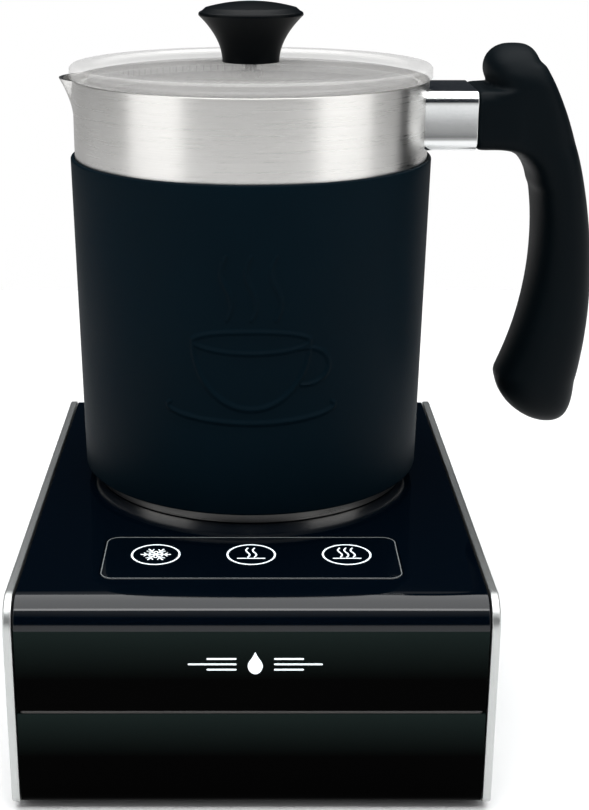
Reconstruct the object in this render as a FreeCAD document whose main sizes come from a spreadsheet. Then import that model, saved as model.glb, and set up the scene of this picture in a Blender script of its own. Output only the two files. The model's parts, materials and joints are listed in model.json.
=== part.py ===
import FreeCAD, Part
import math
import os
import re
import Sketcher

# A milk frother: a heated, magnetically driven jug standing on a low base.
# Millimetres, +Z up, front towards -Y, handle towards +X, feet on z = 0.
SIZES = [
    # jug axis in the base, and the base outline measured from it
    ("axis_x", -20.15), ("axis_y", 16.5), ("half_width", 66.0), ("front", -104.0), ("rear", 71.0),
    ("foot_height", 2.5), ("top", 63.5), ("proud", 0.3), ("seam_low", 30.7), ("seam_high", 31.5),
    ("top_round", 8.0), ("bottom_round", 3.0), ("wall", 2.2), ("top_wall", 3.0), ("floor", 2.5),
    ("panel_inner", 63.7), ("shell_half", 63.3), ("lip_wall", 1.2), ("slip", 0.15),
    ("peg_radius", 2.0), ("boss_radius", 4.2), ("screw_radius", 1.5), ("head_radius", 2.9),
    ("screw_x", 55.0), ("screw_front", -94.0), ("screw_rear", 61.0),
    # control panel
    ("glass_half", 42.0), ("glass_front", -88.2), ("glass_rear", -59.4), ("glass_depth", 1.2),
    ("glass_corner", 4.0), ("mark_pitch", 27.0), ("mark_y", -72.0), ("mark_radius", 7.0),
    ("mark_line", 0.55), ("mark_depth", 0.15), ("board_half", 41.0), ("board_top", 57.6),
    # rest plate, sensor, coil and drive
    ("rest_radius", 40.0), ("rest_height", 65.7), ("rest_ledge", 62.0), ("rest_inner", 36.0),
    ("cup_radius", 4.0), ("cup_offset", 20.5), ("cup_top", 66.6), ("cup_bottom", 57.0),
    ("coil_inner", 29.0), ("coil_pitch", 2.0), ("coil_wire", 0.93), ("coil_height", 59.0),
    ("carrier_inner", 27.2), ("carrier_outer", 49.0), ("carrier_floor", 55.5),
    ("ferrite_low", 52.2), ("bracket_low", 48.5), ("bracket_high", 50.0), ("motor_radius", 14.0),
    ("motor_low", 24.5), ("shaft_radius", 1.0), ("magnet_radius", 13.0), ("magnet_top", 63.2),
    ("magnet_ring", 8.5), ("magnet_size", 3.0),
    # fan, power board and rear cover
    ("fan_x", -36.0), ("fan_y", 36.0), ("fan_half", 20.0), ("fan_low", 9.0), ("fan_high", 19.0),
    ("fan_bore", 18.5), ("pcb_low", 10.0), ("pcb_high", 11.6), ("cover_half", 45.0),
    ("cover_low", 8.0), ("cover_high", 28.0), ("gland_x", 30.0), ("gland_z", 18.0),
    ("gland_radius", 5.5), ("gland_bore", 3.6),
    # jug
    ("jug_base", 63.55), ("foot_outer", 49.8), ("foot_inner", 45.8), ("floor_under", 67.0),
    ("disc_thick", 1.0), ("jug_low_radius", 51.8), ("jug_radius", 53.7), ("jug_wall", 1.0),
    ("sleeve_low", 67.3), ("sleeve_shoulder", 71.5), ("sleeve_top", 165.3), ("jug_top", 188.5),
    ("sleeve_low_radius", 53.2), ("sleeve_top_radius", 55.0), ("sleeve_gap", 0.1),
    ("pin_radius", 1.5), ("pin_top", 90.5),
    # whisk
    ("hub_low", 70.3), ("hub_high", 75.0), ("hub_radius", 15.0), ("hub_bore", 1.57),
    ("stem_radius", 4.0), ("stem_top", 93.0), ("ring_radius", 18.0), ("ring_coil", 2.6),
    ("ring_wire", 0.35), ("ring_height", 73.6), ("core_wire", 0.7), ("ring_turns", 30.0),
    # lid and knob
    ("lid_radius", 54.6), ("lid_low", 188.8), ("lid_high", 192.5), ("lid_step", 47.8),
    ("plug_radius", 51.4), ("plug_low", 182.5), ("seal_radius", 52.5),
    ("knob_low", 192.95), ("knob_high", 210.7), ("knob_neck", 8.6),
    # handle
    ("handle_low", 168.4), ("handle_high", 186.0), ("handle_half", 16.5), ("ferrule_end", 67.0),
    ("ferrule_round", 3.5), ("ferrule_wall", 1.2), ("strap_half", 8.0), ("strap_low", 176.0),
    ("strap_thick", 3.0), ("strap_end", 84.0),
    # grip: its back and palm sides are arcs, each fullest at its own height above the base top
    ("back_radius", 150.0), ("back_reach", 106.3), ("back_middle", 57.0),
    ("palm_radius", 105.0), ("palm_reach", 87.5), ("palm_middle", 76.0),
    ("throat_radius", 12.5), ("throat_centre", 73.0), ("heel_reach", 70.0),
    ("tip_low", 15.6), ("tip_high", 32.0), ("tip_middle", 91.0), ("tip_lean", 5.0),
    ("tip_reach", 12.7), ("thumb_round", 7.0), ("thumb_top", 135.0), ("nape_round", 4.0),
    ("nape_reach", 82.0), ("depth_low", 12.5), ("depth_high", 16.8), ("crown", 10.0),
    # pouring lip and the knob's flare and dome
    ("lip_low", 167.5), ("lip_inset", 3.2), ("lip_proud", 4.3), ("lip_round", 9.0),
    ("lip_spread", 5.0), ("knob_flare", 7.1), ("knob_rim", 206.6), ("dome_radius", 50.0),
]
SIZE = dict(SIZES)
# Heights of the grip's cross-sections above the base top, closer together at its rounded ends.
GRIP_LEVELS = [15.8, 18, 22, 28, 38, 50, 62, 75, 87, 96, 103, 110, 117, 123, 128, 131.5, 134, 134.8]

doc = FreeCAD.newDocument("milk_frother")
sheet = doc.addObject("Spreadsheet::Sheet", "Size")
for row, (alias, number) in enumerate(SIZES, start=1):
    sheet.set(f"A{row}", alias)
    sheet.set(f"B{row}", str(number))
    sheet.setAlias(f"B{row}", alias)
doc.recompute()

NAMES = {alias for alias, number in SIZES}
V = FreeCAD.Vector
UP = V(0, 0, 1)
parts = []


def bound(text):
    """Point every size name in an expression at the sheet."""
    return re.sub(r"[a-z_]+", lambda w: "Size." + w.group() if w.group() in NAMES else w.group(),
                  str(text))


def body(label, x="axis_x", y="axis_y", z="0"):
    made = doc.addObject("PartDesign::Body", label)
    made.Label = label
    for letter, text in zip("xyz", (x, y, z)):
        made.setExpression(f"Placement.Base.{letter}", bound(text))
    parts.append(made)
    return made


def sketch(owner, plane="XY", offset="0"):
    made = owner.newObject("Sketcher::SketchObject", owner.Label + "_sketch")
    face = next(f for f in owner.Origin.OriginFeatures if f.Role == plane + "_Plane")
    made.AttachmentSupport = [(face, "")]
    made.MapMode = "FlatFace"
    made.setExpression("AttachmentOffset.Base.z", bound(offset))
    return made


def hold(drawing, geometry, point, across, along):
    """Fix one sketch point by two sizes from the origin."""
    for kind, text in (("DistanceX", across), ("DistanceY", along)):
        index = drawing.addConstraint(Sketcher.Constraint(kind, -1, 1, geometry, point, 1.0))
        drawing.setExpression(f"Constraints[{index}]", bound(text))


def outline(drawing, points):
    """Closed polygon whose corners are pairs of size expressions."""
    count = len(points)
    start = [V(math.cos(2 * math.pi * i / count), math.sin(2 * math.pi * i / count), 0)
             for i in range(count)]
    first = drawing.GeometryCount
    for i in range(count):
        drawing.addGeometry(Part.LineSegment(start[i], start[(i + 1) % count]))
    for i in range(count):
        drawing.addConstraint(Sketcher.Constraint("Coincident", first + i, 2,
                                                  first + (i + 1) % count, 1))
    for i, (across, along) in enumerate(points):
        hold(drawing, first + i, 1, across, along)


def circle(drawing, across, along, radius):
    index = drawing.addGeometry(Part.Circle(V(0, 0, 0), UP, 1.0))
    hold(drawing, index, 3, across, along)
    limit = drawing.addConstraint(Sketcher.Constraint("Radius", index, 1.0))
    drawing.setExpression(f"Constraints[{limit}]", bound(radius))


def grow(owner, drawing, length, cut=False, both=False):
    """Pad or pocket a sketch along its normal; a pocket has to remove something."""
    doc.recompute()
    before = owner.Shape.Volume if cut else 0.0
    made = owner.newObject("PartDesign::Pocket" if cut else "PartDesign::Pad", owner.Label + "_run")
    made.Profile = drawing
    made.setExpression("Length", bound(length))
    made.Reversed = cut
    if both:
        made.SideType = "Symmetric"
    doc.recompute()
    if "Invalid" in made.State or (cut and owner.Shape.Volume > before - 1e-4):
        raise RuntimeError(f"{owner.Label}: {made.Name} failed or removed nothing")
    return made


def block(owner, x0, x1, y0, y1, z0, z1, cut=False):
    drawing = sketch(owner, "XY", z0)
    outline(drawing, [(x0, y0), (x1, y0), (x1, y1), (x0, y1)])
    return grow(owner, drawing, f"({z1}) - ({z0})", cut)


def rods(owner, centres, radius, z0, z1, cut=False):
    drawing = sketch(owner, "XY", z0)
    for across, along in centres:
        circle(drawing, across, along, radius)
    return grow(owner, drawing, f"({z1}) - ({z0})", cut)


def turned(owner, points, cut=False):
    """Revolve an outline of radius and height about the sub-part's own upright axis."""
    drawing = sketch(owner, "XZ")
    outline(drawing, points)
    made = owner.newObject("PartDesign::Groove" if cut else "PartDesign::Revolution",
                           owner.Label + "_turn")
    made.Profile = drawing
    made.ReferenceAxis = (drawing, ["V_Axis"])
    made.Angle = 360.0
    doc.recompute()
    return made


def side_outline(owner, inset, low, high, half):
    """The base's side profile, run across its width."""
    drawing = sketch(owner, "YZ")
    outline(drawing, [(f"front + {inset}", low), (f"rear - {inset}", low),
                      (f"rear - {inset}", high), (f"front + {inset}", high)])
    return grow(owner, drawing, f"2 * ({half})", both=True)


def soften(owner, base, radius, wanted, kind="Fillet"):
    """Round the edges of a feature that the test picks by centre and direction."""
    doc.recompute()
    chosen = []
    for number, edge in enumerate(base.Shape.Edges, start=1):
        box = edge.BoundBox
        if wanted(box.Center, box):
            chosen.append(f"Edge{number}")
    if not chosen:
        raise RuntimeError(f"{owner.Label}: no edges to round")
    made = owner.newObject("PartDesign::" + kind, owner.Label + "_round")
    made.Base = (base, chosen)
    made.setExpression("Radius" if kind == "Fillet" else "Size", bound(radius))
    doc.recompute()
    if "Invalid" in made.State:
        raise RuntimeError(f"{owner.Label}: rounding failed")
    return made


def around(radius, count, turn=0.0):
    """Evenly spaced centres on a circle, as size expressions."""
    angles = [turn + 360.0 * i / count for i in range(count)]
    return [(f"({radius}) * {math.cos(math.radians(a)):.6f}",
             f"({radius}) * {math.sin(math.radians(a)):.6f}") for a in angles]


def made_of(label, shape, x="axis_x", y="axis_y"):
    """A sub-part whose shape is built in code from sheet sizes, standing on the named axis."""
    made = doc.addObject("Part::Feature", label)
    made.Label = label
    made.Shape = shape
    made.setExpression("Placement.Base.x", bound(x))
    made.setExpression("Placement.Base.y", bound(y))
    parts.append(made)
    return made


CORNERS = [(x, y) for x in ("screw_x", "-screw_x") for y in ("screw_front", "screw_rear")]
PEGS = [("-80", "18"), ("50", "18"), ("-80", "46"), ("50", "46")]


def across_x(box, length):
    return box.XLength > length and box.YLength < 0.01 and box.ZLength < 0.01


# ---- base housings --------------------------------------------------------------------------
lower = body("lower_housing")
run = side_outline(lower, "proud", "foot_height", "seam_low", "shell_half")
soften(lower, run, "bottom_round", lambda c, b: across_x(b, 100) and c.z < 3)
block(lower, "-shell_half + wall", "shell_half - wall", "front + proud + wall",
      "rear - proud - wall", "foot_height + floor", "seam_low", cut=True)
drawing = sketch(lower, "XY", "seam_low - 4")
for inset in ("wall + slip", "wall + slip + lip_wall"):
    outline(drawing, [(f"-shell_half + {inset}", f"front + proud + {inset}"),
                      (f"shell_half - {inset}", f"front + proud + {inset}"),
                      (f"shell_half - {inset}", f"rear - proud - {inset}"),
                      (f"-shell_half + {inset}", f"rear - proud - {inset}")])
grow(lower, drawing, "6.5")
block(lower, "-shell_half + wall / 2", "shell_half - wall / 2", "front + proud + wall / 2",
      "front + proud + wall + slip * 2", "seam_low - 4", "seam_low - 1.5")
block(lower, "-shell_half + wall / 2", "shell_half - wall / 2", "rear - proud - wall - slip * 2",
      "rear - proud - wall / 2", "seam_low - 1.2", "seam_low - 0.4")
for side in ("-", ""):
    block(lower, f"{side}(shell_half - wall / 2)", f"{side}(shell_half - wall - slip * 2)",
          "front + proud + wall", "rear - proud - wall", "seam_low - 4", "seam_low - 1.5")
rods(lower, CORNERS, "boss_radius", "foot_height + floor - 0.5", "seam_low + 0.4")
rods(lower, [("-34", "-60"), ("44", "-60"), ("-34", "4"), ("0", "38")], "3", "floor + 2", "pcb_low")
rods(lower, [(f"fan_x + {a} * 16", f"fan_y + {b} * 16") for a in (-1, 1) for b in (-1, 1)],
     "2.5", "floor + 2", "fan_low")
block(lower, "-cover_half", "cover_half", "rear - 8", "rear", "cover_low", "cover_high", cut=True)
rods(lower, CORNERS, "screw_radius + 0.2", "foot_height", "seam_low + 0.4", cut=True)
rods(lower, CORNERS, "head_radius + 0.2", "foot_height", "foot_height + 3", cut=True)
rods(lower, [(a, b) for a in ("-42", "42") for b in ("-88", "55")], "7.2", "foot_height",
     "foot_height + 0.8", cut=True)
for step in range(7):
    block(lower, "fan_x - 14", "fan_x + 14", f"fan_y - 16 + {step} * 4.8",
          f"fan_y - 13.4 + {step} * 4.8", "foot_height", "foot_height + floor", cut=True)
for inner_side in ("-shell_half", "shell_half - wall"):
    drawing = sketch(lower, "YZ", inner_side)
    for along, up in PEGS[:2]:
        circle(drawing, along, up, "peg_radius + 0.1")
    grow(lower, drawing, "wall", cut=True)

upper = body("upper_housing")
run = side_outline(upper, "proud", "seam_high", "top", "shell_half")
soften(upper, run, "top_round", lambda c, b: across_x(b, 100) and c.z > 63)
drawing = sketch(upper, "YZ")
outline(drawing, [("front + proud + wall", "seam_high"), ("rear - proud - wall", "seam_high"),
                  ("rear - proud - wall", "top - top_round"),
                  ("rear - top_round + 1", "top - top_wall"),
                  ("front + top_round - 1", "top - top_wall"),
                  ("front + proud + wall", "top - top_round")])
grow(upper, drawing, "2 * (shell_half - wall)", cut=True, both=True)
rods(upper, CORNERS, "boss_radius", "seam_low + 0.4", "top - top_wall + 0.5")
rods(upper, around("carrier_outer + 5", 3, 90), "3", "bracket_high", "top - top_wall + 0.5")
rods(upper, [(a, b) for a in ("-37", "37") for b in ("glass_front + 2", "glass_rear - 2")],
     "2.2", "board_top", "top - top_wall + 0.5")
rods(upper, CORNERS, "screw_radius", "seam_low + 0.4", "top - top_wall - 6", cut=True)
rods(upper, [("0", "0")], "rest_inner + 0.5", "top - top_wall", "top", cut=True)
rods(upper, [("0", "0")], "rest_radius + slip", "rest_ledge", "top", cut=True)
run = block(upper, "-glass_half", "glass_half", "glass_front", "glass_rear", "top - glass_depth",
            "top", cut=True)
soften(upper, run, "glass_corner", lambda c, b: b.ZLength > 1 and b.XLength < 0.01
       and abs(abs(c.x) - 42) < 0.1 and c.y < -50)
block(upper, "-glass_half + 9", "glass_half - 9", "glass_front + 5", "glass_rear - 5",
      "top - top_wall", "top - glass_depth", cut=True)
for inner_side in ("-shell_half", "shell_half - wall"):
    drawing = sketch(upper, "YZ", inner_side)
    for along, up in PEGS[2:]:
        circle(drawing, along, up, "peg_radius + 0.1")
    grow(upper, drawing, "wall", cut=True)

for label, side in (("left_side_panel", "-"), ("right_side_panel", "")):
    panel = body(label)
    drawing = sketch(panel, "YZ", "-half_width" if side else "panel_inner")
    outline(drawing, [("front", "foot_height - proud"), ("rear", "foot_height - proud"),
                      ("rear", "top + proud"), ("front", "top + proud")])
    run = grow(panel, drawing, "half_width - panel_inner")
    run = soften(panel, run, "top_round + proud", lambda c, b: b.XLength > 1 and c.z > 63)
    run = soften(panel, run, "bottom_round + proud",
                 lambda c, b: 1 < b.XLength < 3 and b.YLength < 0.01 and c.z < 3)
    outer = -66.0 if side else 66.0
    soften(panel, run, "0.35", lambda c, b: b.XLength < 0.01 and abs(c.x - outer) < 0.01)
    drawing = sketch(panel, "YZ", "-panel_inner" if side else "shell_half")
    outline(drawing, [("front + 6", "8"), ("rear - 6", "8"), ("rear - 6", "58"), ("front + 6", "58")])
    grow(panel, drawing, "panel_inner - shell_half")
    drawing = sketch(panel, "YZ", "-shell_half" if side else "shell_half - wall + 0.2")
    for along, up in PEGS:
        circle(drawing, along, up, "peg_radius")
    grow(panel, drawing, "wall - 0.2")

rear_cover = body("rear_cover")
block(rear_cover, "-cover_half + slip", "cover_half - slip", "rear - proud - wall - 0.1",
      "rear - proud", "cover_low + slip", "cover_high - slip")
block(rear_cover, "-cover_half - 2", "cover_half + 2", "rear - proud - wall - 1.6",
      "rear - proud - wall", "cover_low - 2", "cover_high - 4")
for step in range(9):
    block(rear_cover, f"-40 + {step} * 6", f"-37 + {step} * 6", "rear - 8", "rear",
          "cover_low + 3", "cover_high - 5", cut=True)
drawing = sketch(rear_cover, "XZ", "-rear")
circle(drawing, "gland_x", "gland_z", "gland_radius")
grow(rear_cover, drawing, "8", cut=True)

feet = body("rubber_feet")
spots = [(a, b) for a in ("-42", "42") for b in ("-88", "55")]
rods(feet, spots, "7", "0.6", "foot_height + 0.8")
rods(feet, spots, "6.4", "0", "0.6")

screws = body("housing_screws")
rods(screws, CORNERS, "head_radius", "foot_height + 0.8", "foot_height + 3")
rods(screws, CORNERS, "screw_radius", "foot_height + 3", "top - top_wall - 8")

# ---- control panel --------------------------------------------------------------------------
marks = [("-mark_pitch", "mark_y"), ("0", "mark_y"), ("mark_pitch", "mark_y")]


def rings(owner, offset):
    drawing = sketch(owner, "XY", offset)
    for across, along in marks:
        circle(drawing, across, along, "mark_radius")
        circle(drawing, across, along, "mark_radius - mark_line")
    return drawing


glass = body("control_panel")
run = block(glass, "-glass_half + slip", "glass_half - slip", "glass_front + slip",
            "glass_rear - slip", "top - glass_depth", "top")
soften(glass, run, "glass_corner - slip", lambda c, b: b.ZLength > 1 and b.XLength < 0.01)
grow(glass, rings(glass, "top - mark_depth"), "mark_depth", cut=True)

touch_marks = body("touch_marks")
grow(touch_marks, rings(touch_marks, "top - mark_depth"), "mark_depth")

springs = body("touch_springs")
drawing = sketch(springs, "XY", "board_top")
for across, along in marks:
    circle(drawing, across, along, "5")
    circle(drawing, across, along, "4.2")
grow(springs, drawing, "top - glass_depth - board_top")

touch_board = body("touch_board")
block(touch_board, "-board_half", "board_half", "glass_front + 0.5", "glass_rear - 0.5",
      "board_top - 1.6", "board_top")
block(touch_board, "-6", "6", "mark_y - 6", "mark_y + 6", "board_top - 3", "board_top - 1.6")
for across in ("-20", "14"):
    block(touch_board, across, f"{across} + 6", "mark_y - 3", "mark_y + 3", "board_top - 2.6",
          "board_top - 1.6")

# ---- rest plate, sensor, coil and drive -------------------------------------------------------
rest = body("rest_plate")
run = turned(rest, [("0", "rest_height - 2"), ("rest_inner", "rest_height - 2"),
                    ("rest_inner", "rest_ledge"), ("rest_radius", "rest_ledge"),
                    ("rest_radius", "rest_height"), ("0", "rest_height")])
soften(rest, run, "0.6", lambda c, b: b.XLength > 79 and c.z > 65.6)
rods(rest, [("0", "-cup_offset")], "cup_radius + slip", "rest_height - 2", "rest_height", cut=True)

cup = body("sensor_cup", y="axis_y - cup_offset")
run = turned(cup, [("0", "cup_top - 1"), ("cup_radius - 0.8", "cup_top - 1"),
                   ("cup_radius - 0.8", "cup_bottom"), ("cup_radius + 1", "cup_bottom"),
                   ("cup_radius + 1", "cup_bottom + 1.2"), ("cup_radius", "cup_bottom + 1.2"),
                   ("cup_radius", "cup_top"), ("0", "cup_top")])
soften(cup, run, "0.5", lambda c, b: b.XLength > 7.9 and c.z > 66.5)

guide = body("sensor_guide", y="axis_y - cup_offset")
turned(guide, [("cup_radius + 1.1", "bracket_high"), ("cup_radius + 2", "bracket_high"),
               ("cup_radius + 2", "cup_bottom + 3.2"), ("cup_radius + 0.1", "cup_bottom + 3.2"),
               ("cup_radius + 0.1", "cup_bottom + 2"), ("cup_radius + 1.1", "cup_bottom + 2")])

spring = body("sensor_spring", y="axis_y - cup_offset")
drawing = sketch(spring, "XZ")
circle(drawing, "cup_radius - 0.4", "bracket_high + 0.5", "0.4")
coil = spring.newObject("PartDesign::AdditiveHelix", "sensor_spring_run")
coil.Profile = drawing
coil.ReferenceAxis = (drawing, ["V_Axis"])
coil.Mode = "height-turns-angle"
coil.setExpression("Height", bound("cup_bottom - bracket_high - 1.0"))
coil.Turns = 5

winding = body("induction_coil")
drawing = sketch(winding, "XZ")
for turn in range(9):
    circle(drawing, f"coil_inner + {turn} * coil_pitch", "coil_height", "coil_wire")
coil = winding.newObject("PartDesign::Revolution", "induction_coil_turn")
coil.Profile = drawing
coil.ReferenceAxis = (drawing, ["V_Axis"])
coil.Angle = 360.0

carrier = body("coil_carrier")
turned(carrier, [("carrier_inner", "carrier_floor"), ("carrier_outer", "carrier_floor"),
                 ("carrier_outer", "top - top_wall"), ("carrier_outer - 1.8", "top - top_wall"),
                 ("carrier_outer - 1.8", "coil_height - coil_wire"),
                 ("carrier_inner", "coil_height - coil_wire")])

ferrites = body("ferrite_bars")
drawing = sketch(ferrites, "XY", "ferrite_low")
for bar in range(6):
    angle = math.radians(30 + 60 * bar)
    across, along = math.cos(angle), math.sin(angle)
    outline(drawing, [(f"{r} * {across:.6f} - {w} * {along:.6f}",
                       f"{r} * {along:.6f} + {w} * {across:.6f}")
                      for r, w in ((29, -3.5), (46, -3.5), (46, 3.5), (29, 3.5))])
grow(ferrites, drawing, "carrier_floor - ferrite_low")

bracket = body("motor_bracket")
rods(bracket, [("0", "0")], "27", "bracket_low", "bracket_high")
for arm in range(3):
    angle = math.radians(90 + 120 * arm)
    across, along = math.cos(angle), math.sin(angle)
    drawing = sketch(bracket, "XY", "bracket_low")
    outline(drawing, [(f"{r} * {across:.6f} - {w} * {along:.6f}",
                       f"{r} * {along:.6f} + {w} * {across:.6f}")
                      for r, w in ((20, -5), (57, -3.5), (57, 3.5), (20, 5))])
    grow(bracket, drawing, "bracket_high - bracket_low")
rods(bracket, [("0", "0")], "4.05", "bracket_low", "bracket_high", cut=True)
rods(bracket, around("carrier_outer + 5", 3, 90), "1.1", "bracket_low", "bracket_high", cut=True)
bracket_screws = body("bracket_screws")
rods(bracket_screws, around("carrier_outer + 5", 3, 90), "2.4", "bracket_low - 1.6", "bracket_low")
rods(bracket_screws, around("carrier_outer + 5", 3, 90), "1.1", "bracket_low", "bracket_high")

can = body("motor_can")
run = turned(can, [("shaft_radius + 0.05", "motor_low"), ("motor_radius", "motor_low"),
                   ("motor_radius", "bracket_low"), ("4", "bracket_low"), ("4", "bracket_high"),
                   ("shaft_radius + 0.05", "bracket_high")])
soften(can, run, "1.2", lambda c, b: b.XLength > 27 and c.z < 25)

shaft = body("motor_shaft")
run = rods(shaft, [("0", "0")], "shaft_radius", "motor_low - 1.5", "magnet_top - 1")
soften(shaft, run, "0.3", lambda c, b: b.ZLength < 0.01, "Chamfer")

hub = body("magnet_carrier")
turned(hub, [("shaft_radius", "magnet_top - 9"), ("5", "magnet_top - 9"), ("5", "magnet_top - 7"),
             ("magnet_radius", "magnet_top - 6"), ("magnet_radius", "magnet_top"),
             ("shaft_radius", "magnet_top")])
rods(hub, around("magnet_ring", 4), "magnet_size", "magnet_top - 3.5", "magnet_top", cut=True)
magnets = body("drive_magnets")
rods(magnets, around("magnet_ring", 4), "magnet_size", "magnet_top - 3.5", "magnet_top - 0.2")

# ---- fan, boards, rear -----------------------------------------------------------------------
fan_place = {"x": "axis_x + fan_x", "y": "axis_y + fan_y"}
frame = body("fan_frame", **fan_place)
run = block(frame, "-fan_half", "fan_half", "-fan_half", "fan_half", "fan_low", "fan_high")
soften(frame, run, "3", lambda c, b: b.ZLength > 9)
rods(frame, [("0", "0")], "fan_bore", "fan_low", "fan_high", cut=True)
rods(frame, [("0", "0")], "8", "fan_low", "fan_low + 1.6")
for x0, x1, y0, y1 in (("-fan_bore - 0.5", "-7", "-1.2", "1.2"), ("7", "fan_bore + 0.5", "-1.2", "1.2"),
                       ("-1.2", "1.2", "-fan_bore - 0.5", "-7"), ("-1.2", "1.2", "7", "fan_bore + 0.5")):
    block(frame, x0, x1, y0, y1, "fan_low", "fan_low + 1.6")
rods(frame, [("0", "0")], "1.5", "fan_low", "fan_low + 1.6", cut=True)
rods(frame, [(a, b) for a in ("-16", "16") for b in ("-16", "16")], "1.7", "fan_low", "fan_high",
     cut=True)

fan = body("fan_rotor", **fan_place)
turned(fan, [("0", "fan_low"), ("1.45", "fan_low"), ("1.45", "fan_low + 2.2"),
             ("8.5", "fan_low + 2.2"), ("8.5", "fan_high - 0.6"), ("0", "fan_high - 0.6")])
for blade in range(7):
    angle = 2 * math.pi * blade / 7
    drawing = sketch(fan, "XY", "fan_low + 2.4")
    outline(drawing, [(f"{r * math.cos(angle + t):.6f}", f"{r * math.sin(angle + t):.6f}")
                      for r, t in ((7.8, -0.06), (13, 0.13), (17.8, 0.42), (17.8, 0.47),
                                   (13, 0.21), (7.8, 0.07))])
    grow(fan, drawing, "fan_high - fan_low - 3.2")

board = body("power_board")
drawing = sketch(board, "XY", "pcb_low")
outline(drawing, [("-38", "-64"), ("48", "-64"), ("48", "44"), ("-6", "44"), ("-6", "8"),
                  ("-38", "8")])
grow(board, drawing, "pcb_high - pcb_low")
board_screws = body("board_screws")
rods(board_screws, [("-34", "-60"), ("44", "-60"), ("-34", "4"), ("0", "38")], "2.5", "pcb_high",
     "pcb_high + 1.8")

bulk = body("bulk_capacitor")
run = rods(bulk, [("30", "-44")], "9", "pcb_high", "pcb_high + 24")
soften(bulk, run, "1", lambda c, b: b.XLength > 17 and c.z > 30)
film = body("filter_capacitor")
run = block(film, "10", "26", "30", "39", "pcb_high", "pcb_high + 13")
soften(film, run, "0.8", lambda c, b: c.z > 24)
resonant = body("resonant_capacitor")
run = block(resonant, "-30", "-12", "-52", "-40", "pcb_high", "pcb_high + 15")
soften(resonant, run, "0.8", lambda c, b: c.z > 26)
choke = body("mains_choke")
drawing = sketch(choke, "XY", "pcb_high")
circle(drawing, "36", "16", "9.5")
circle(drawing, "36", "16", "4")
run = grow(choke, drawing, "11")
soften(choke, run, "2.2", lambda c, b: c.z > 22)
terminal = body("terminal_block")
block(terminal, "30", "46", "30", "40", "pcb_high", "pcb_high + 10")
rods(terminal, [("34", "35"), ("42", "35")], "2.4", "pcb_high + 6", "pcb_high + 10", cut=True)
sink = body("heat_sink")
block(sink, "-4", "26", "-34", "-31", "pcb_high", "pcb_high + 24")
for fin in range(6):
    block(sink, f"-4 + {fin} * 5.72", f"-2.6 + {fin} * 5.72", "-31.2", "-21", "pcb_high",
          "pcb_high + 24")
switch = body("power_switch")
block(switch, "3", "19", "-38.8", "-34", "pcb_high + 4", "pcb_high + 22")
rods(switch, [("6", "-36.4"), ("11", "-36.4"), ("16", "-36.4")], "0.5", "pcb_high",
     "pcb_high + 4.2")

gland = body("cord_gland", x="axis_x + gland_x", z="gland_z")
drawing = sketch(gland, "XZ", "-rear + proud")
circle(drawing, "0", "0", "gland_radius - 0.1")
circle(drawing, "0", "0", "gland_bore")
grow(gland, drawing, "9")
drawing = sketch(gland, "XZ", "-rear + proud + wall + 1.6")
circle(drawing, "0", "0", "gland_radius + 1.6")
circle(drawing, "0", "0", "gland_bore")
grow(gland, drawing, "2")

# ---- jug --------------------------------------------------------------------------------------
jug = body("jug_shell")
turned(jug, [("0", "floor_under + disc_thick"), ("foot_inner - 0.2", "floor_under + disc_thick"),
             ("foot_inner", "jug_base"), ("foot_outer - 0.6", "jug_base"),
             ("foot_outer", "jug_base + 0.6"), ("foot_outer", "sleeve_low - 0.4"),
             ("jug_low_radius", "sleeve_low + 1"), ("jug_radius", "jug_top - 22"),
             ("jug_radius", "jug_top"), ("0", "jug_top")])


def lip(owner, kind, shrink):
    """Pouring lip: it starts inside the jug wall and curls outward more steeply near the rim."""
    sections = []
    for share in (0.0, 0.4, 0.7, 1.0):
        drawing = sketch(owner, "XY", f"lip_low + {share} * (jug_top - lip_low)")
        reach = f"jug_radius - lip_inset * {(1 - share) ** 3:.3f} + lip_proud * {share ** 3:.3f}"
        radius = f"lip_round + lip_spread * {share}"
        circle(drawing, f"{radius} - ({reach})", "0", f"{radius} - {shrink}")
        sections.append(drawing)
    made = owner.newObject("PartDesign::" + kind, owner.Label + "_lip")
    made.Profile = sections[0]
    made.Sections = sections[1:]
    doc.recompute()
    return made


lip(jug, "AdditiveLoft", "0")
turned(jug, [("0", "floor_under + disc_thick + jug_wall"),
             ("foot_inner + 1", "floor_under + disc_thick + jug_wall"),
             ("jug_low_radius - jug_wall - 1", "sleeve_low + 3"),
             ("jug_low_radius - jug_wall", "sleeve_low + 6"),
             ("jug_radius - jug_wall", "jug_top - 22"), ("jug_radius - jug_wall", "jug_top + 1"),
             ("0", "jug_top + 1")], cut=True)
lip(jug, "SubtractiveLoft", "jug_wall")

disc = body("jug_base_disc")
turned(disc, [("0", "floor_under"), ("foot_inner - 1", "floor_under"),
              ("foot_inner - 1", "floor_under + disc_thick"), ("0", "floor_under + disc_thick")])

sleeve = body("jug_sleeve")
run = turned(sleeve, [("jug_low_radius - 0.9", "sleeve_low"), ("jug_low_radius", "sleeve_low"),
                      ("sleeve_low_radius - 0.5", "sleeve_low + 1.6"),
                      ("sleeve_low_radius", "sleeve_shoulder"),
                      ("sleeve_top_radius", "sleeve_top - 1.5"),
                      ("sleeve_top_radius - 0.5", "sleeve_top"),
                      ("jug_radius + sleeve_gap", "sleeve_top"),
                      ("jug_low_radius + sleeve_gap", "sleeve_low + 1")])

pin = body("whisk_pin")
run = rods(pin, [("0", "0")], "pin_radius", "floor_under + disc_thick + jug_wall", "pin_top")
soften(pin, run, "1", lambda c, b: b.ZLength < 0.01 and c.z > 90)

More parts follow.
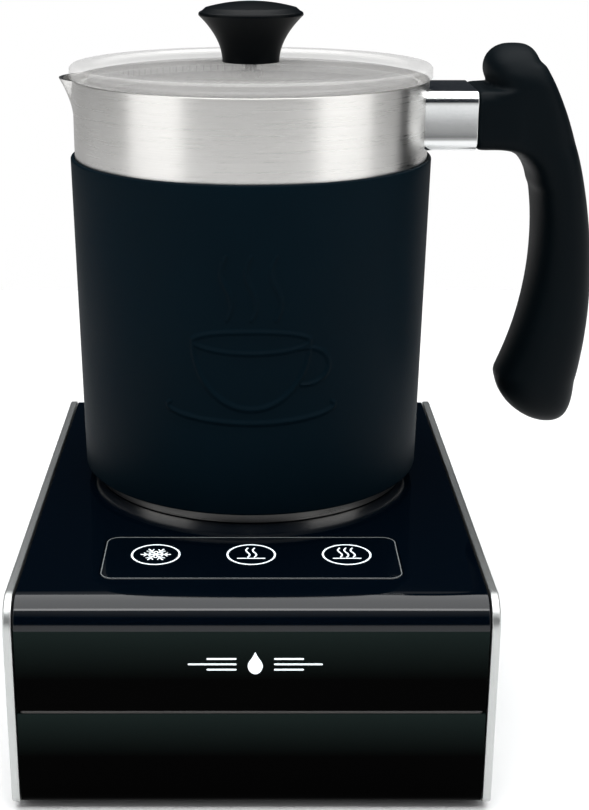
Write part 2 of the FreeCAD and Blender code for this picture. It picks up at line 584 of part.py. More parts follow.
# ---- whisk ------------------------------------------------------------------------------------
whisk = body("whisk_hub")
turned(whisk, [("hub_bore", "hub_low"), ("hub_radius", "hub_low"), ("hub_radius", "hub_high - 1"),
               ("hub_radius - 1", "hub_high"), ("hub_bore", "hub_high")])
rods(whisk, around("magnet_ring", 4), "magnet_size", "hub_low + 0.5", "hub_low + 3.2", cut=True)
stem = body("whisk_stem")
turned(stem, [("hub_bore", "hub_high"), ("stem_radius + 1", "hub_high"),
              ("stem_radius", "hub_high + 1.5"), ("stem_radius - 0.8", "stem_top - 2"),
              ("stem_radius - 1.8", "stem_top"), ("0", "stem_top"), ("0", "pin_top + 0.6"),
              ("hub_bore", "pin_top + 0.6")])
whisk_magnets = body("whisk_magnets")
rods(whisk_magnets, around("magnet_ring", 4), "magnet_size", "hub_low + 0.5", "hub_low + 3.2")

ring = body("whisk_frame")
drawing = sketch(ring, "XZ")
circle(drawing, "ring_radius", "ring_height", "core_wire")
coil = ring.newObject("PartDesign::Revolution", "whisk_frame_turn")
coil.Profile = drawing
coil.ReferenceAxis = (drawing, ["V_Axis"])
coil.Angle = 360.0
for spoke in range(3):
    angle = math.radians(120 * spoke)
    across, along = math.cos(angle), math.sin(angle)
    drawing = sketch(ring, "XY", "ring_height - 0.6")
    outline(drawing, [(f"{r} * {across:.6f} - {w} * {along:.6f}",
                       f"{r} * {along:.6f} + {w} * {across:.6f}")
                      for r, w in (("hub_radius", -0.6), ("ring_radius", -0.6),
                                   ("ring_radius", 0.6), ("hub_radius", 0.6))])
    grow(ring, drawing, "1.2")


def wire_ring():
    """Wire wound round a ring: one open sweep per third, end faces meeting."""
    thirds = []
    turns = round(sheet.ring_turns / 3)
    for third in range(3):
        points = []
        for step in range(turns * 10 + 1):
            along = 2 * math.pi * (third / 3 + step / (30 * turns))
            wind = 2 * math.pi * (step / 10)
            reach = sheet.ring_radius + sheet.ring_coil * math.cos(wind)
            points.append(V(reach * math.cos(along), reach * math.sin(along),
                            sheet.ring_height + sheet.ring_coil * math.sin(wind)))
        path = Part.BSplineCurve()
        path.interpolate(points)
        spine = Part.Wire(path.toShape())
        start = path.FirstParameter
        section = Part.Circle(path.value(start), path.tangent(start)[0], sheet.ring_wire)
        thirds.append(spine.makePipeShell([Part.Wire(section.toShape())], True, True))
    return Part.makeCompound(thirds)


made_of("whisk_coil", wire_ring())

# ---- lid --------------------------------------------------------------------------------------
lid = body("lid_disc")
run = turned(lid, [("1.7", "knob_low"), ("knob_neck + 3", "knob_low - 0.1"), ("28", "knob_low - 0.5"),
                   ("lid_step - 1", "lid_high - 0.9"), ("lid_step", "lid_high"),
                   ("lid_radius - 0.9", "lid_high"), ("lid_radius", "lid_high - 0.9"),
                   ("lid_radius", "lid_low"), ("plug_radius", "lid_low"),
                   ("plug_radius", "plug_low + 4.6"), ("plug_radius - 0.9", "plug_low + 4.6"),
                   ("plug_radius - 0.9", "plug_low + 2.4"), ("plug_radius", "plug_low + 2.4"),
                   ("plug_radius", "plug_low"), ("plug_radius - 1.8", "plug_low"),
                   ("plug_radius - 2.2", "lid_high - 2.9"), ("1.7", "lid_high - 2.1")])
seal = body("lid_seal")
turned(seal, [("plug_radius - 0.9", "plug_low + 2.5"), ("plug_radius + 0.2", "plug_low + 2.5"),
              ("seal_radius", "plug_low + 3.2"), ("seal_radius", "plug_low + 3.8"),
              ("plug_radius + 0.2", "plug_low + 4.5"), ("plug_radius - 0.9", "plug_low + 4.5")])
knob = body("lid_knob")
flare = [(f"knob_neck + knob_flare * {share ** 2:.4f}",
          f"knob_low + (knob_rim - knob_low) * {share}") for share in (0.3, 0.5, 0.7, 0.85, 1.0)]
dome = [(str(radius), f"knob_high - {radius ** 2} / (2 * dome_radius)") for radius in (13.5, 9, 4.5)]
turned(knob, [("1.2", "knob_low + 0.02"), ("knob_neck", "knob_low + 0.02")] + flare
       + [("knob_neck + knob_flare - 0.5", "knob_rim + 1")] + dome
       + [("0", "knob_high"), ("0", "knob_high - 6"), ("1.2", "knob_high - 6")])
lid_screw = body("lid_screw")
turned(lid_screw, [("0", "lid_high - 4.4"), ("3", "lid_high - 4.2"), ("3.4", "lid_high - 2.6"),
                   ("3.4", "lid_high - 2.15"), ("1.2", "lid_high - 2.15"),
                   ("1.2", "knob_high - 6.5"), ("0", "knob_high - 6.5")])

# ---- handle -----------------------------------------------------------------------------------


def slab(owner, x0, x1, half, low, high, cut=False):
    drawing = sketch(owner, "YZ", x0)
    outline(drawing, [(f"-({half})", low), (half, low), (half, high), (f"-({half})", high)])
    return grow(owner, drawing, f"({x1}) - ({x0})", cut)


ferrule = body("handle_ferrule")
run = slab(ferrule, "jug_radius - 6", "ferrule_end", "handle_half", "handle_low", "handle_high")
soften(ferrule, run, "ferrule_round", lambda c, b: b.XLength > 10)
slab(ferrule, "jug_radius - 6", "ferrule_end", "handle_half - ferrule_wall",
     "handle_low + ferrule_wall", "handle_high - ferrule_wall", cut=True)
turned(ferrule, [("0", "handle_low - 1"), ("jug_radius + 0.02", "handle_low - 1"),
                 ("jug_radius + 0.02", "handle_high + 1"), ("0", "handle_high + 1")], cut=True)

strap = body("handle_bracket")
slab(strap, "jug_radius - 3", "jug_radius + 2", "strap_half + 4", "strap_low - 5",
     "strap_low + strap_thick + 4")
slab(strap, "jug_radius - 3", "strap_end", "strap_half", "strap_low", "strap_low + strap_thick")
turned(strap, [("0", "handle_low - 1"), ("jug_radius + 0.01", "handle_low - 1"),
               ("jug_radius + 0.01", "handle_high + 1"), ("0", "handle_high + 1")], cut=True)
rods(strap, [("77", "0")], "1.6", "strap_low", "strap_low + strap_thick", cut=True)


def reach_of(side, height):
    radius = SIZE[side + "_radius"]
    return (SIZE[side + "_reach"] - radius
            + math.sqrt(radius ** 2 - (height - SIZE[side + "_middle"]) ** 2))


def rounding(height, level, radius):
    """Half width of a circle at a height above its centre level."""
    return math.sqrt(max(radius ** 2 - max(height - level, 0.0) ** 2, 0.0))


def grip_section(height):
    """Inner reach, outer reach and half depth of the grip at a height above the base top."""
    share = (height - SIZE["tip_low"]) / (SIZE["handle_high"] - SIZE["top"] - SIZE["tip_low"])
    half = SIZE["depth_low"] + (SIZE["depth_high"] - SIZE["depth_low"]) * min(share, 1.0)
    if height < SIZE["tip_high"]:
        left = (SIZE["tip_high"] - height) / (SIZE["tip_high"] - SIZE["tip_low"])
        middle = SIZE["tip_middle"] + SIZE["tip_lean"] * left ** 2
        full = math.sqrt(1 - left ** 2)
        return middle - SIZE["tip_reach"] * full, middle + SIZE["tip_reach"] * full, half * full
    neck_low = SIZE["handle_low"] - SIZE["top"]
    throat_level = neck_low - SIZE["throat_radius"]
    inner, outer = reach_of("palm", height), reach_of("back", height)
    if height > neck_low:
        inner = SIZE["heel_reach"]
    elif height > throat_level:
        throat = rounding(height, throat_level, SIZE["throat_radius"])
        inner = min(inner, SIZE["throat_centre"] + throat)
    thumb_level = SIZE["thumb_top"] - SIZE["thumb_round"]
    if height > thumb_level:
        thumb = rounding(height, thumb_level, SIZE["thumb_round"])
        inner = SIZE["heel_reach"] + SIZE["thumb_round"] - thumb
        nape = rounding(height, SIZE["thumb_top"] - SIZE["nape_round"], SIZE["nape_round"])
        outer = min(outer, SIZE["nape_reach"] + nape)
    half *= rounding(height, SIZE["thumb_top"] - SIZE["crown"], SIZE["crown"]) / SIZE["crown"]
    return inner, outer, half


grip = body("handle_grip")
neck = slab(grip, "ferrule_end", "83", "handle_half", "handle_low", "handle_high")
soften(grip, neck, "ferrule_round", lambda c, b: b.XLength > 10)
sections = []
for height in GRIP_LEVELS:
    inner, outer, half = grip_section(height)
    drawing = sketch(grip, "XY", f"top + {height}")
    middle, reach = (inner + outer) / 2, (outer - inner) / 2
    widest, narrowest = V(middle, half, 0), V(outer, 0, 0)
    if half < reach:
        widest, narrowest = narrowest, widest
    drawing.addGeometry(Part.Ellipse(widest, narrowest, V(middle, 0, 0)))
    sections.append(drawing)
run = grip.newObject("PartDesign::AdditiveLoft", "handle_grip_loft")
run.Profile = sections[0]
run.Sections = sections[1:]
doc.recompute()
slab(grip, "ferrule_end - 1", "strap_end + 0.3", "strap_half + 0.1", "strap_low - 0.1",
     "strap_low + strap_thick + 0.1", cut=True)
rods(grip, [("77", "0")], "1.6", "handle_low", "strap_low + 8", cut=True)
rods(grip, [("77", "0")], "3.1", "handle_low - 1", "handle_low + 2.5", cut=True)

handle_screw = body("handle_screw", x="axis_x + 77")
turned(handle_screw, [("0", "handle_low + 0.3"), ("2.9", "handle_low + 0.3"),
                      ("2.9", "handle_low + 2.5"), ("1.5", "handle_low + 2.5"),
                      ("1.5", "strap_low + 7.5"), ("0", "strap_low + 7.5")])

# ---- check and write ----------------------------------------------------------------------------
doc.recompute()
for thing in doc.Objects:
    if "Invalid" in thing.State or "Error" in thing.State:
        raise RuntimeError(f"{thing.Label} did not solve: {thing.State}")
os.makedirs("parts", exist_ok=True)
for made in parts:
    if made.Shape.isNull() or not made.Shape.isValid():
        raise RuntimeError(f"{made.Label} has a broken shape")
    made.Shape.exportStep(f"parts/{made.Label}.step")
    print(made.Label, len(made.Shape.Solids), round(made.Shape.Volume), made.Shape.BoundBox)
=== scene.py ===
import json
import math

import bmesh
import bpy
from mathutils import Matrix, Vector, kdtree


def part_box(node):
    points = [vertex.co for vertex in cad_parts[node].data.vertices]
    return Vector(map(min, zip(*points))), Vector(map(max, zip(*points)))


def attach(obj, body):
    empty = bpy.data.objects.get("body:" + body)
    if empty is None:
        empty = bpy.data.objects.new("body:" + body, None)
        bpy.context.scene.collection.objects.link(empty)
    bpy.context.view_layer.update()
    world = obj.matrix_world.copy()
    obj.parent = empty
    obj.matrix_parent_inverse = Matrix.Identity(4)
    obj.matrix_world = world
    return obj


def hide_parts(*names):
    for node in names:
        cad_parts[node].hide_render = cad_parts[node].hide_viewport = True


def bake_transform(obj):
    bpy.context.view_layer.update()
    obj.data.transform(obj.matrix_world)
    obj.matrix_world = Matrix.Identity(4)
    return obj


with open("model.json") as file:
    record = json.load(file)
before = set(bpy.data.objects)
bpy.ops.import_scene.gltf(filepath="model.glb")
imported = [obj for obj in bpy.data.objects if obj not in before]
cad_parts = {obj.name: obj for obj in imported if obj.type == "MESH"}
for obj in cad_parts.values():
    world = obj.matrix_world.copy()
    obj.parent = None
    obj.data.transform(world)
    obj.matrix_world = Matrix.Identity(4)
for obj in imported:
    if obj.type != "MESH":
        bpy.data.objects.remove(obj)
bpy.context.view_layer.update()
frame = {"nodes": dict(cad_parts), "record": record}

MM = 0.001
DISC_LOW, DISC_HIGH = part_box("jug_base_disc")
AXIS_X, AXIS_Y = (DISC_LOW.x + DISC_HIGH.x) / 2, (DISC_LOW.y + DISC_HIGH.y) / 2
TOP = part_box("control_panel")[1].z
FULL = 2 * math.pi

# Millimetres from the jug's axis and the base's top.
FRONT, REAR, HALF_WIDTH, PANEL_INNER, SHELL_HALF = -104.0, 71.0, 66.0, 63.7, 63.3
SEAM_HIGH, BOTTOM, TOP_ROUND, BOTTOM_ROUND, PROUD = -32.0, -61.0, 8.0, 3.0, 0.3


def place(x, y, z):
    """A point of the frame, in metres, from millimetres about the jug's axis and the base's top."""
    return Vector((AXIS_X + x * MM, AXIS_Y + y * MM, TOP + z * MM))


# ---- mesh helpers --------------------------------------------------------------------------------

def solid_mesh(name, points, faces):
    """A closed mesh from points in millimetres, doubles merged and faces turned outwards."""
    mesh = bpy.data.meshes.new(name)
    mesh.from_pydata([place(*p) for p in points], [], faces)
    joined = bmesh.new()
    joined.from_mesh(mesh)
    bmesh.ops.remove_doubles(joined, verts=joined.verts, dist=1e-7)
    bmesh.ops.recalc_face_normals(joined, faces=joined.faces)
    joined.to_mesh(mesh)
    joined.free()
    return mesh


def piece(name, points, faces, body, look, slot, stands_for=(), sharp=35.0, stretch=None):
    """A mesh object from points in millimetres, riding on a body, or with its placement baked in and
    no body when stretch is given.
    """
    mesh = solid_mesh(name, points, faces)
    made = bpy.data.objects.new(name, mesh)
    bpy.context.scene.collection.objects.link(made)
    shade(made, sharp)
    mesh.materials.append(look)
    if stretch:
        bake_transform(made)
    else:
        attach(made, body)
    if stands_for:
        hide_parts(*stands_for)
    return made


def shade(made, sharp):
    for polygon in made.data.polygons:
        polygon.use_smooth = True
    made.data.set_sharp_from_angle(angle=math.radians(sharp))


def rounded(corners, steps=6):
    """Closed outline from (a, b, radius) corners, each rounded by an arc."""
    result = []
    count = len(corners)
    for i, (a, b, radius) in enumerate(corners):
        here = Vector((a, b))
        before = Vector(corners[i - 1][:2]) - here
        after = Vector(corners[(i + 1) % count][:2]) - here
        if radius <= 0 or before.length < 1e-9 or after.length < 1e-9:
            result.append((a, b))
            continue
        to_before, to_after = before.normalized(), after.normalized()
        half = math.acos(max(-1.0, min(1.0, to_before.dot(to_after)))) / 2
        if half > math.radians(88.5):
            result.append((a, b))
            continue
        reach = min(radius / math.tan(half), before.length * 0.49, after.length * 0.49)
        radius = reach * math.tan(half)
        centre = here + (to_before + to_after).normalized() * (radius / math.sin(half))
        start = here + to_before * reach - centre
        sweep = math.pi - 2 * half
        turn = 1 if to_before.x * to_after.y - to_before.y * to_after.x < 0 else -1
        for k in range(steps + 1):
            angle = turn * sweep * k / steps
            result.append((centre.x + start.x * math.cos(angle) - start.y * math.sin(angle),
                           centre.y + start.x * math.sin(angle) + start.y * math.cos(angle)))
    return result


def smooth_line(points, steps=6):
    """Catmull-Rom curve through points of any dimension."""
    result = []
    last = len(points) - 1
    for i in range(last):
        a, b, c, d = (points[max(i - 1, 0)], points[i], points[i + 1], points[min(i + 2, last)])
        for k in range(steps):
            t = k / steps
            result.append(tuple(
                0.5 * (2 * q + (r - p) * t + (2 * p - 5 * q + 4 * r - s) * t * t
                       + (3 * q - p - 3 * r + s) * t ** 3) for p, q, r, s in zip(a, b, c, d)))
    result.append(tuple(points[-1]))
    return result


def lathe(profile, around=192, closed=True, centre=(0.0, 0.0)):
    """Turn a (radius, height) profile about an upright axis; radius 0 makes a pole."""
    points, faces, rings = [], [], []
    for radius, height in profile:
        if radius < 1e-6:
            rings.append([len(points)] * around)
            points.append((centre[0], centre[1], height))
        else:
            rings.append(list(range(len(points), len(points) + around)))
            points += [(centre[0] + radius * math.cos(FULL * k / around),
                        centre[1] + radius * math.sin(FULL * k / around), height)
                       for k in range(around)]
    pairs = list(zip(rings, rings[1:])) + ([(rings[-1], rings[0])] if closed else [])
    for low, high in pairs:
        for k in range(around):
            n = (k + 1) % around
            quad = [low[k], low[n], high[n], high[k]]
            face = [v for i, v in enumerate(quad) if v != quad[i - 1]]
            if len(face) >= 3:
                faces.append(face)
    return points, faces


def shifted(outline, distance):
    """Move a closed outline inwards by a mitred distance."""
    area = sum(a[0] * b[1] - b[0] * a[1] for a, b in zip(outline, outline[1:] + outline[:1]))
    side = 1 if area > 0 else -1
    result = []
    for i, point in enumerate(outline):
        here = Vector(point)
        d1 = here - Vector(outline[i - 1])
        d2 = Vector(outline[(i + 1) % len(outline)]) - here
        n1 = Vector((-d1.y, d1.x)).normalized() * side
        n2 = Vector((-d2.y, d2.x)).normalized() * side
        normal = n1 + n2
        scale = distance / max(0.35, 1 + n1.dot(n2))
        result.append((here.x + normal.x * scale, here.y + normal.y * scale))
    return result


def ring_faces(rings, around, closed=False):
    """Faces between rings of equally many points: an endless tube, or one with two flat ends."""
    faces = []
    for row in range(rings if closed else rings - 1):
        after = (row + 1) % rings
        for k in range(around):
            n = (k + 1) % around
            faces.append([row * around + k, row * around + n, after * around + n,
                          after * around + k])
    if not closed:
        faces.append(list(range(around)))
        faces.append(list(range((rings - 1) * around, rings * around)))
    return faces


TURNS = {"x": lambda a, b, c: (c, a, b), "y": lambda a, b, c: (a, c, b),
         "z": lambda a, b, c: (a, b, c)}


def slab(outline, along, start, end, edge_start=0.0, edge_end=0.0, steps=4):
    """Run a closed outline along an axis, its rims rounded."""
    rings = []
    for k in range(steps if edge_start else 0):
        phi = math.pi / 2 * k / steps
        rings.append((edge_start * (1 - math.sin(phi)), start + edge_start * (1 - math.cos(phi))))
    rings += [(0.0, start + edge_start), (0.0, end - edge_end)]
    for k in range(1, (steps if edge_end else 0) + 1):
        phi = math.pi / 2 * k / steps
        rings.append((edge_end * (1 - math.cos(phi)), end - edge_end * (1 - math.sin(phi))))
    turn = TURNS[along]
    points = []
    for inset, level in rings:
        line = shifted(outline, inset) if inset > 1e-9 else outline
        points += [turn(a, b, level) for a, b in line]
    return points, ring_faces(len(rings), len(outline))


def merged(*parts):
    """Several closed shapes as one list of points and one of faces."""
    points, faces = [], []
    for some_points, some_faces in parts:
        base = len(points)
        points += some_points
        faces += [[v + base for v in f] for f in some_faces]
    return points, faces


def oblong(x0, x1, y0, y1, radius, steps=8):
    return rounded([(x0, y0, radius), (x1, y0, radius), (x1, y1, radius), (x0, y1, radius)], steps)


def ribbon(line, half, low, high, tip=True):
    """A flat raised stroke along a line in the XY plane."""
    left, right = [], []
    for i, point in enumerate(line):
        a, b = Vector(line[max(i - 1, 0)]), Vector(line[min(i + 1, len(line) - 1)])
        d = (b - a).normalized()
        n = Vector((-d.y, d.x)) * half
        left.append((point[0] + n.x, point[1] + n.y))
        right.append((point[0] - n.x, point[1] - n.y))
    if tip:
        ends = []
        for at, a, b in ((0, line[1], line[0]), (-1, line[-2], line[-1])):
            d = (Vector(b) - Vector(a)).normalized()
            n = Vector((-d.y, d.x))
            ends.append([(b[0] + (n.x * math.cos(p) + d.x * math.sin(p)) * half,
                          b[1] + (n.y * math.cos(p) + d.y * math.sin(p)) * half)
                         for p in (math.pi * k / 6 for k in range(1, 6))])
        outline = left + ends[1] + right[::-1] + ends[0]
    else:
        outline = left + right[::-1]
    return slab(outline, "z", low, high)


def annulus(x, y, outer, inner, low, high, around=96):
    profile = [(inner, low), (outer, low), (outer, high), (inner, high)]
    return lathe(profile, around, centre=(x, y))


def cut(made, points, faces):
    """Take a closed shape out of a piece."""
    tool = bpy.data.objects.new("cutter", solid_mesh("cutter", points, faces))
    bpy.context.scene.collection.objects.link(tool)
    modifier = made.modifiers.new("cut", "BOOLEAN")
    modifier.operation, modifier.solver, modifier.object = "DIFFERENCE", "EXACT", tool
    apply_modifiers(made)
    bpy.data.objects.remove(tool)


def apply_modifiers(made):
    depsgraph = bpy.context.evaluated_depsgraph_get()
    fresh = bpy.data.meshes.new_from_object(made.evaluated_get(depsgraph))
    fresh.name = made.name
    made.modifiers.clear()
    made.data = fresh


# ---- material helpers ----------------------------------------------------------------------------

class Look:
    """A node material with a small vocabulary of procedural detail."""

    def __init__(self, name, **settings):
        self.material = bpy.data.materials.new(name)
        self.material.use_nodes = True
        self.tree = self.material.node_tree
        self.shader = self.tree.nodes["Principled BSDF"]
        for socket, value in settings.items():
            target = self.shader.inputs[socket.replace("_", " ")]
            target.default_value = (*value, 1.0) if isinstance(value, tuple) else value
        self.where = self.tree.nodes.new("ShaderNodeTexCoord").outputs["Object"]

    def node(self, kind, **inputs):
        made = self.tree.nodes.new("ShaderNode" + kind)
        for name, value in inputs.items():
            self.feed(made.inputs[name.replace("_", " ")], value)
        return made

    def feed(self, socket, value):
        if isinstance(value, bpy.types.NodeSocket):
            self.tree.links.new(value, socket)
        else:
            socket.default_value = value

    def math(self, operation, first, second=0.0):
        made = self.tree.nodes.new("ShaderNodeMath")
        made.operation = operation
        self.feed(made.inputs[0], first)
        self.feed(made.inputs[1], second)
        return made.outputs[0]

    def noise(self, scale, detail=3.0, rough=0.5, vector=None):
        return self.node("TexNoise", Vector=vector or self.where, Scale=scale, Detail=detail,
                         Roughness=rough).outputs["Fac"]

    def ramp(self, value, *stops):
        made = self.tree.nodes.new("ShaderNodeValToRGB")
        self.feed(made.inputs[0], value)
        while len(made.color_ramp.elements) < len(stops):
            made.color_ramp.elements.new(0.5)
        for element, (place_at, colour) in zip(made.color_ramp.elements, stops):
            element.position = place_at
            element.color = (colour,) * 3 + (1,) if isinstance(colour, float) else (*colour, 1)
        return made.outputs[0]

    def span(self, value, low, high):
        """Spread a 0..1 value over low..high."""
        return self.node("MapRange", Value=value, **{"From_Min": 0.3, "From_Max": 0.7,
                                                     "To_Min": low, "To_Max": high}).outputs[0]

    def set(self, **sockets):
        for name, value in sockets.items():
            self.feed(self.shader.inputs[name.replace("_", " ")], value)
        return self

    def bump(self, height, distance, strength=1.0, after=None):
        made = self.node("Bump", Height=height, Distance=distance, Strength=strength)
        if after is not None:
            self.tree.links.new(after, made.inputs["Normal"])
        self.tree.links.new(made.outputs[0], self.shader.inputs["Normal"])
        return made.outputs[0]

    def wrapped(self, turns, rise):
        """Coordinates that run round the jug's axis: the angle, as a scaled circle, and the height.
        """
        split = self.node("SeparateXYZ", Vector=self.where)
        x = self.math("SUBTRACT", split.outputs[0], AXIS_X)
        y = self.math("SUBTRACT", split.outputs[1], AXIS_Y)
        angle = self.math("ARCTAN2", y, x)
        ringed_a = self.math("MULTIPLY", self.math("COSINE", angle), turns)
        ringed_b = self.math("MULTIPLY", self.math("SINE", angle), turns)
        height = self.math("MULTIPLY", split.outputs[2], rise)
        return self.node("CombineXYZ", X=ringed_a, Y=ringed_b, Z=height).outputs[0]


def gloss_black(name, base, roughness, level, speck=0.5):
    look = Look(name, Base_Color=base, IOR=1.45, Specular_IOR_Level=level)
    smudge = look.noise(14.0, 4.0, 0.6)
    fine = look.noise(900.0, 2.0)
    look.set(Roughness=look.span(smudge, roughness * 0.75, roughness * 1.35))
    wave = look.bump(look.noise(55.0, 2.0), 0.00002, 0.25)
    look.bump(fine, 0.000004, speck, after=wave)
    return look.material


def moulded(name, base, roughness, grain=1400.0, depth=0.00003, level=0.5, vary=0.12):
    look = Look(name, Specular_IOR_Level=level)
    cloud = look.noise(22.0, 4.0, 0.6)
    grains = look.noise(grain, 2.0, 0.6)
    dark = tuple(c * (1 - vary) for c in base)
    light = tuple(c * (1 + vary) for c in base)
    look.set(Base_Color=look.ramp(cloud, (0.3, dark), (0.7, light)),
             Roughness=look.span(cloud, roughness * 0.9, roughness * 1.1))
    look.bump(grains, depth, 0.8)
    return look.material


def metal(name, base, roughness, grain=600.0, depth=0.00001, anisotropy=0.0):
    look = Look(name, Metallic=1.0, Anisotropic=anisotropy)
    cloud = look.noise(30.0, 4.0, 0.6)
    grains = look.noise(grain, 3.0, 0.6)
    look.set(Base_Color=look.ramp(cloud, (0.3, tuple(c * 0.92 for c in base)), (0.7, base)),
             Roughness=look.span(grains, roughness * 0.8, roughness * 1.25))
    look.bump(grains, depth, 0.6)
    return look.material


def brushed_round(name, base, roughness, anisotropy, streak=0.5):
    """Steel brushed round the jug's axis."""
    look = Look(name, Metallic=1.0, Anisotropic=anisotropy, Anisotropic_Rotation=0.25)
    fine = look.noise(1.0, 4.0, 0.7, look.wrapped(5.0, 9000.0))
    broad = look.noise(1.0, 2.0, 0.5, look.wrapped(1.2, 1800.0))
    mixed = look.math("ADD", look.math("MULTIPLY", fine, 0.6), look.math("MULTIPLY", broad, 0.4))
    look.set(Base_Color=look.ramp(mixed, (0.35, tuple(c * (1 - 0.2 * streak) for c in base)),
                                  (0.65, base)),
             Roughness=look.span(mixed, roughness * 0.75, roughness * 1.3))
    tangent = look.tree.nodes.new("ShaderNodeTangent")
    tangent.direction_type, tangent.axis = "RADIAL", "Z"
    look.feed(look.shader.inputs["Tangent"], tangent.outputs[0])
    look.bump(fine, 0.000006, 0.35)
    return look.material


def printed(name, base, painted_glow=0.0):
    look = Look(name, Roughness=0.45)
    spots = look.noise(2600.0, 2.0)
    look.set(Base_Color=look.ramp(spots, (0.3, tuple(c * 0.88 for c in base)), (0.6, base)))
    # Painted glow: emission makes the print give off light though it is no lamp.
    if painted_glow:
        look.set(Emission_Color=(*base, 1.0), Emission_Strength=painted_glow)
    look.bump(spots, 0.000004, 0.4)
    return look.material


def see_through(name, base, alpha):
    """Clear plastic with faint rings round the jug's axis."""
    look = Look(name, Base_Color=base, IOR=1.49, Alpha=alpha)
    look.set(Roughness=look.span(look.noise(30.0, 4.0, 0.65), 0.04, 0.12))
    look.bump(look.noise(1.0, 3.0, 0.6, look.wrapped(3.0, 900.0)), 0.000008, 0.2)
    return look.material


housing_black = gloss_black("housing_black", (0.0003, 0.0014, 0.0032), 0.055, 0.42)
panel_black = gloss_black("panel_black", (0.0003, 0.0013, 0.003), 0.04, 0.46)
# Light grey standing in for the highlight along the seam: a painted highlight.
seam_painted_highlight = moulded("seam_painted_highlight", (0.062, 0.059, 0.057), 0.6)


def painted_reflection_black(name, painted_peak, bands):
    """Black for upright faces with a painted reflection, a little lighter towards the top of each
    height band.
    """
    look = Look(name, IOR=1.45, Specular_IOR_Level=0.015)
    height = look.math("MULTIPLY", look.node("SeparateXYZ", Vector=look.where).outputs[2],
                       1 / (TOP + MM))
    stops = []
    for low, high in bands:
        stops += [((TOP + low * MM) / (TOP + MM), (0.0, 0.0, 0.0)),
                  ((TOP + high * MM) / (TOP + MM), painted_peak),
                  ((TOP + high * MM + 0.0004) / (TOP + MM), (0.0, 0.0, 0.0))]
    smudge = look.noise(14.0, 4.0, 0.6)
    look.set(Base_Color=look.ramp(height, *stops), Roughness=look.span(smudge, 0.05, 0.08))
    look.bump(look.noise(55.0, 2.0), 0.00002, 0.25)
    return look.material


# Painted reflection on the base's upright faces: lighter towards the top of each height band.
housing_painted_reflection = painted_reflection_black("housing_painted_reflection", (0.0075, 0.0125, 0.0115),
                                ((-46.0, SEAM_HIGH - 0.8), (-22.5, -TOP_ROUND)))
silver = metal("silver_paint", (0.5, 0.512, 0.505), 0.38, grain=2600.0, depth=0.000006)
jug_steel = brushed_round("jug_steel", (0.68, 0.668, 0.648), 0.3, 0.7, 0.5)
foot_steel = brushed_round("foot_steel", (0.72, 0.68, 0.62), 0.34, 0.8, 0.4)
sleeve_dark = moulded("sleeve_soft", (0.0006, 0.0045, 0.0078), 0.55, grain=1500.0, depth=0.00004,
                      level=0.03, vary=0.1)
knob_black = moulded("knob_satin", (0.0008, 0.0016, 0.0022), 0.36, grain=1700.0, depth=0.00001,
                     level=0.06)
grip_soft = moulded("grip_soft", (0.0011, 0.0028, 0.004), 0.5, grain=1600.0, depth=0.00003,
                    level=0.05)
chrome = metal("ferrule_polish", (0.66, 0.67, 0.67), 0.17, grain=1500.0, depth=0.000002)
# The white print carries a painted glow of strength 0.35.
print_white_painted_glow = printed("print_white_painted_glow", (0.82, 0.88, 0.92), 0.35)
print_grey = printed("print_grey", (0.16, 0.17, 0.17))
rubber_black = moulded("rubber_black", (0.02, 0.02, 0.02), 0.8, depth=0.00006)
plastic_black = moulded("plastic_black", (0.02, 0.021, 0.023), 0.45)
plastic_white = moulded("plastic_white", (0.7, 0.7, 0.67), 0.4)
board_green = moulded("board_green", (0.02, 0.16, 0.07), 0.35, grain=500.0)
copper = metal("copper_wire", (0.85, 0.42, 0.2), 0.25, grain=900.0)
ferrite = moulded("ferrite_grey", (0.06, 0.06, 0.065), 0.55, grain=900.0)
plated = metal("plated_steel", (0.68, 0.68, 0.67), 0.3)
nickel = metal("magnet_nickel", (0.72, 0.7, 0.66), 0.18)
aluminium = metal("bare_aluminium", (0.78, 0.79, 0.8), 0.32)
silicone = moulded("seal_silicone", (0.62, 0.62, 0.6), 0.5, depth=0.00002)
can_blue = moulded("can_blue", (0.02, 0.04, 0.16), 0.3)
film_yellow = moulded("film_yellow", (0.6, 0.42, 0.07), 0.4)
terminal_green = moulded("terminal_green", (0.05, 0.3, 0.12), 0.45)

lid_clear = see_through("lid_clear", (0.6, 0.592, 0.58), 0.34)

# ---- base ----------------------------------------------------------------------------------------

GLASS_HALF, GLASS_FRONT, GLASS_REAR, GLASS_DEPTH, GLASS_CORNER = 42.0, -88.2, -59.4, 1.2, 4.0


def glass_line(inset, corner):
    """Outline of the touch panel's recess, moved inwards."""
    return oblong(-GLASS_HALF + inset, GLASS_HALF - inset, GLASS_FRONT + inset, GLASS_REAR - inset,
                  corner, 12)


def c_section(front, rear, top, low, round_out, wall):
    """Outline of the upper housing in the YZ plane: front wall, top and rear wall."""
    inner = max(round_out - wall, 1.0)
    return rounded([(front, low, 0.5), (front, top, round_out), (rear, top, round_out),
                    (rear, low, 0.5), (rear - wall, low, 0.3), (rear - wall, top - wall, inner),
                    (front + wall, top - wall, inner), (front + wall, low, 0.3)], 16)


upper_outline = c_section(FRONT + PROUD, REAR - PROUD, 0.0, SEAM_HIGH, TOP_ROUND, 2.4)
upper = piece("upper_skin", *slab(upper_outline, "x", -SHELL_HALF, SHELL_HALF, 0.35, 0.35),
              "base", housing_black, "housing_black", ["upper_housing"])
cut(upper, *slab(glass_line(0.0, GLASS_CORNER), "z", -GLASS_DEPTH, 4.0))
cut(upper, *lathe([(0.0, -1.5), (40.15, -1.5), (40.15, 4.0), (0.0, 4.0)], closed=False))
shade(upper, 30.0)
# Faces below the top rounding take the painted reflection gradient.
upper.data.materials.append(housing_painted_reflection)
for polygon in upper.data.polygons:
    if polygon.center.z < TOP - (TOP_ROUND - 0.2) * MM:
        polygon.material_index = 1

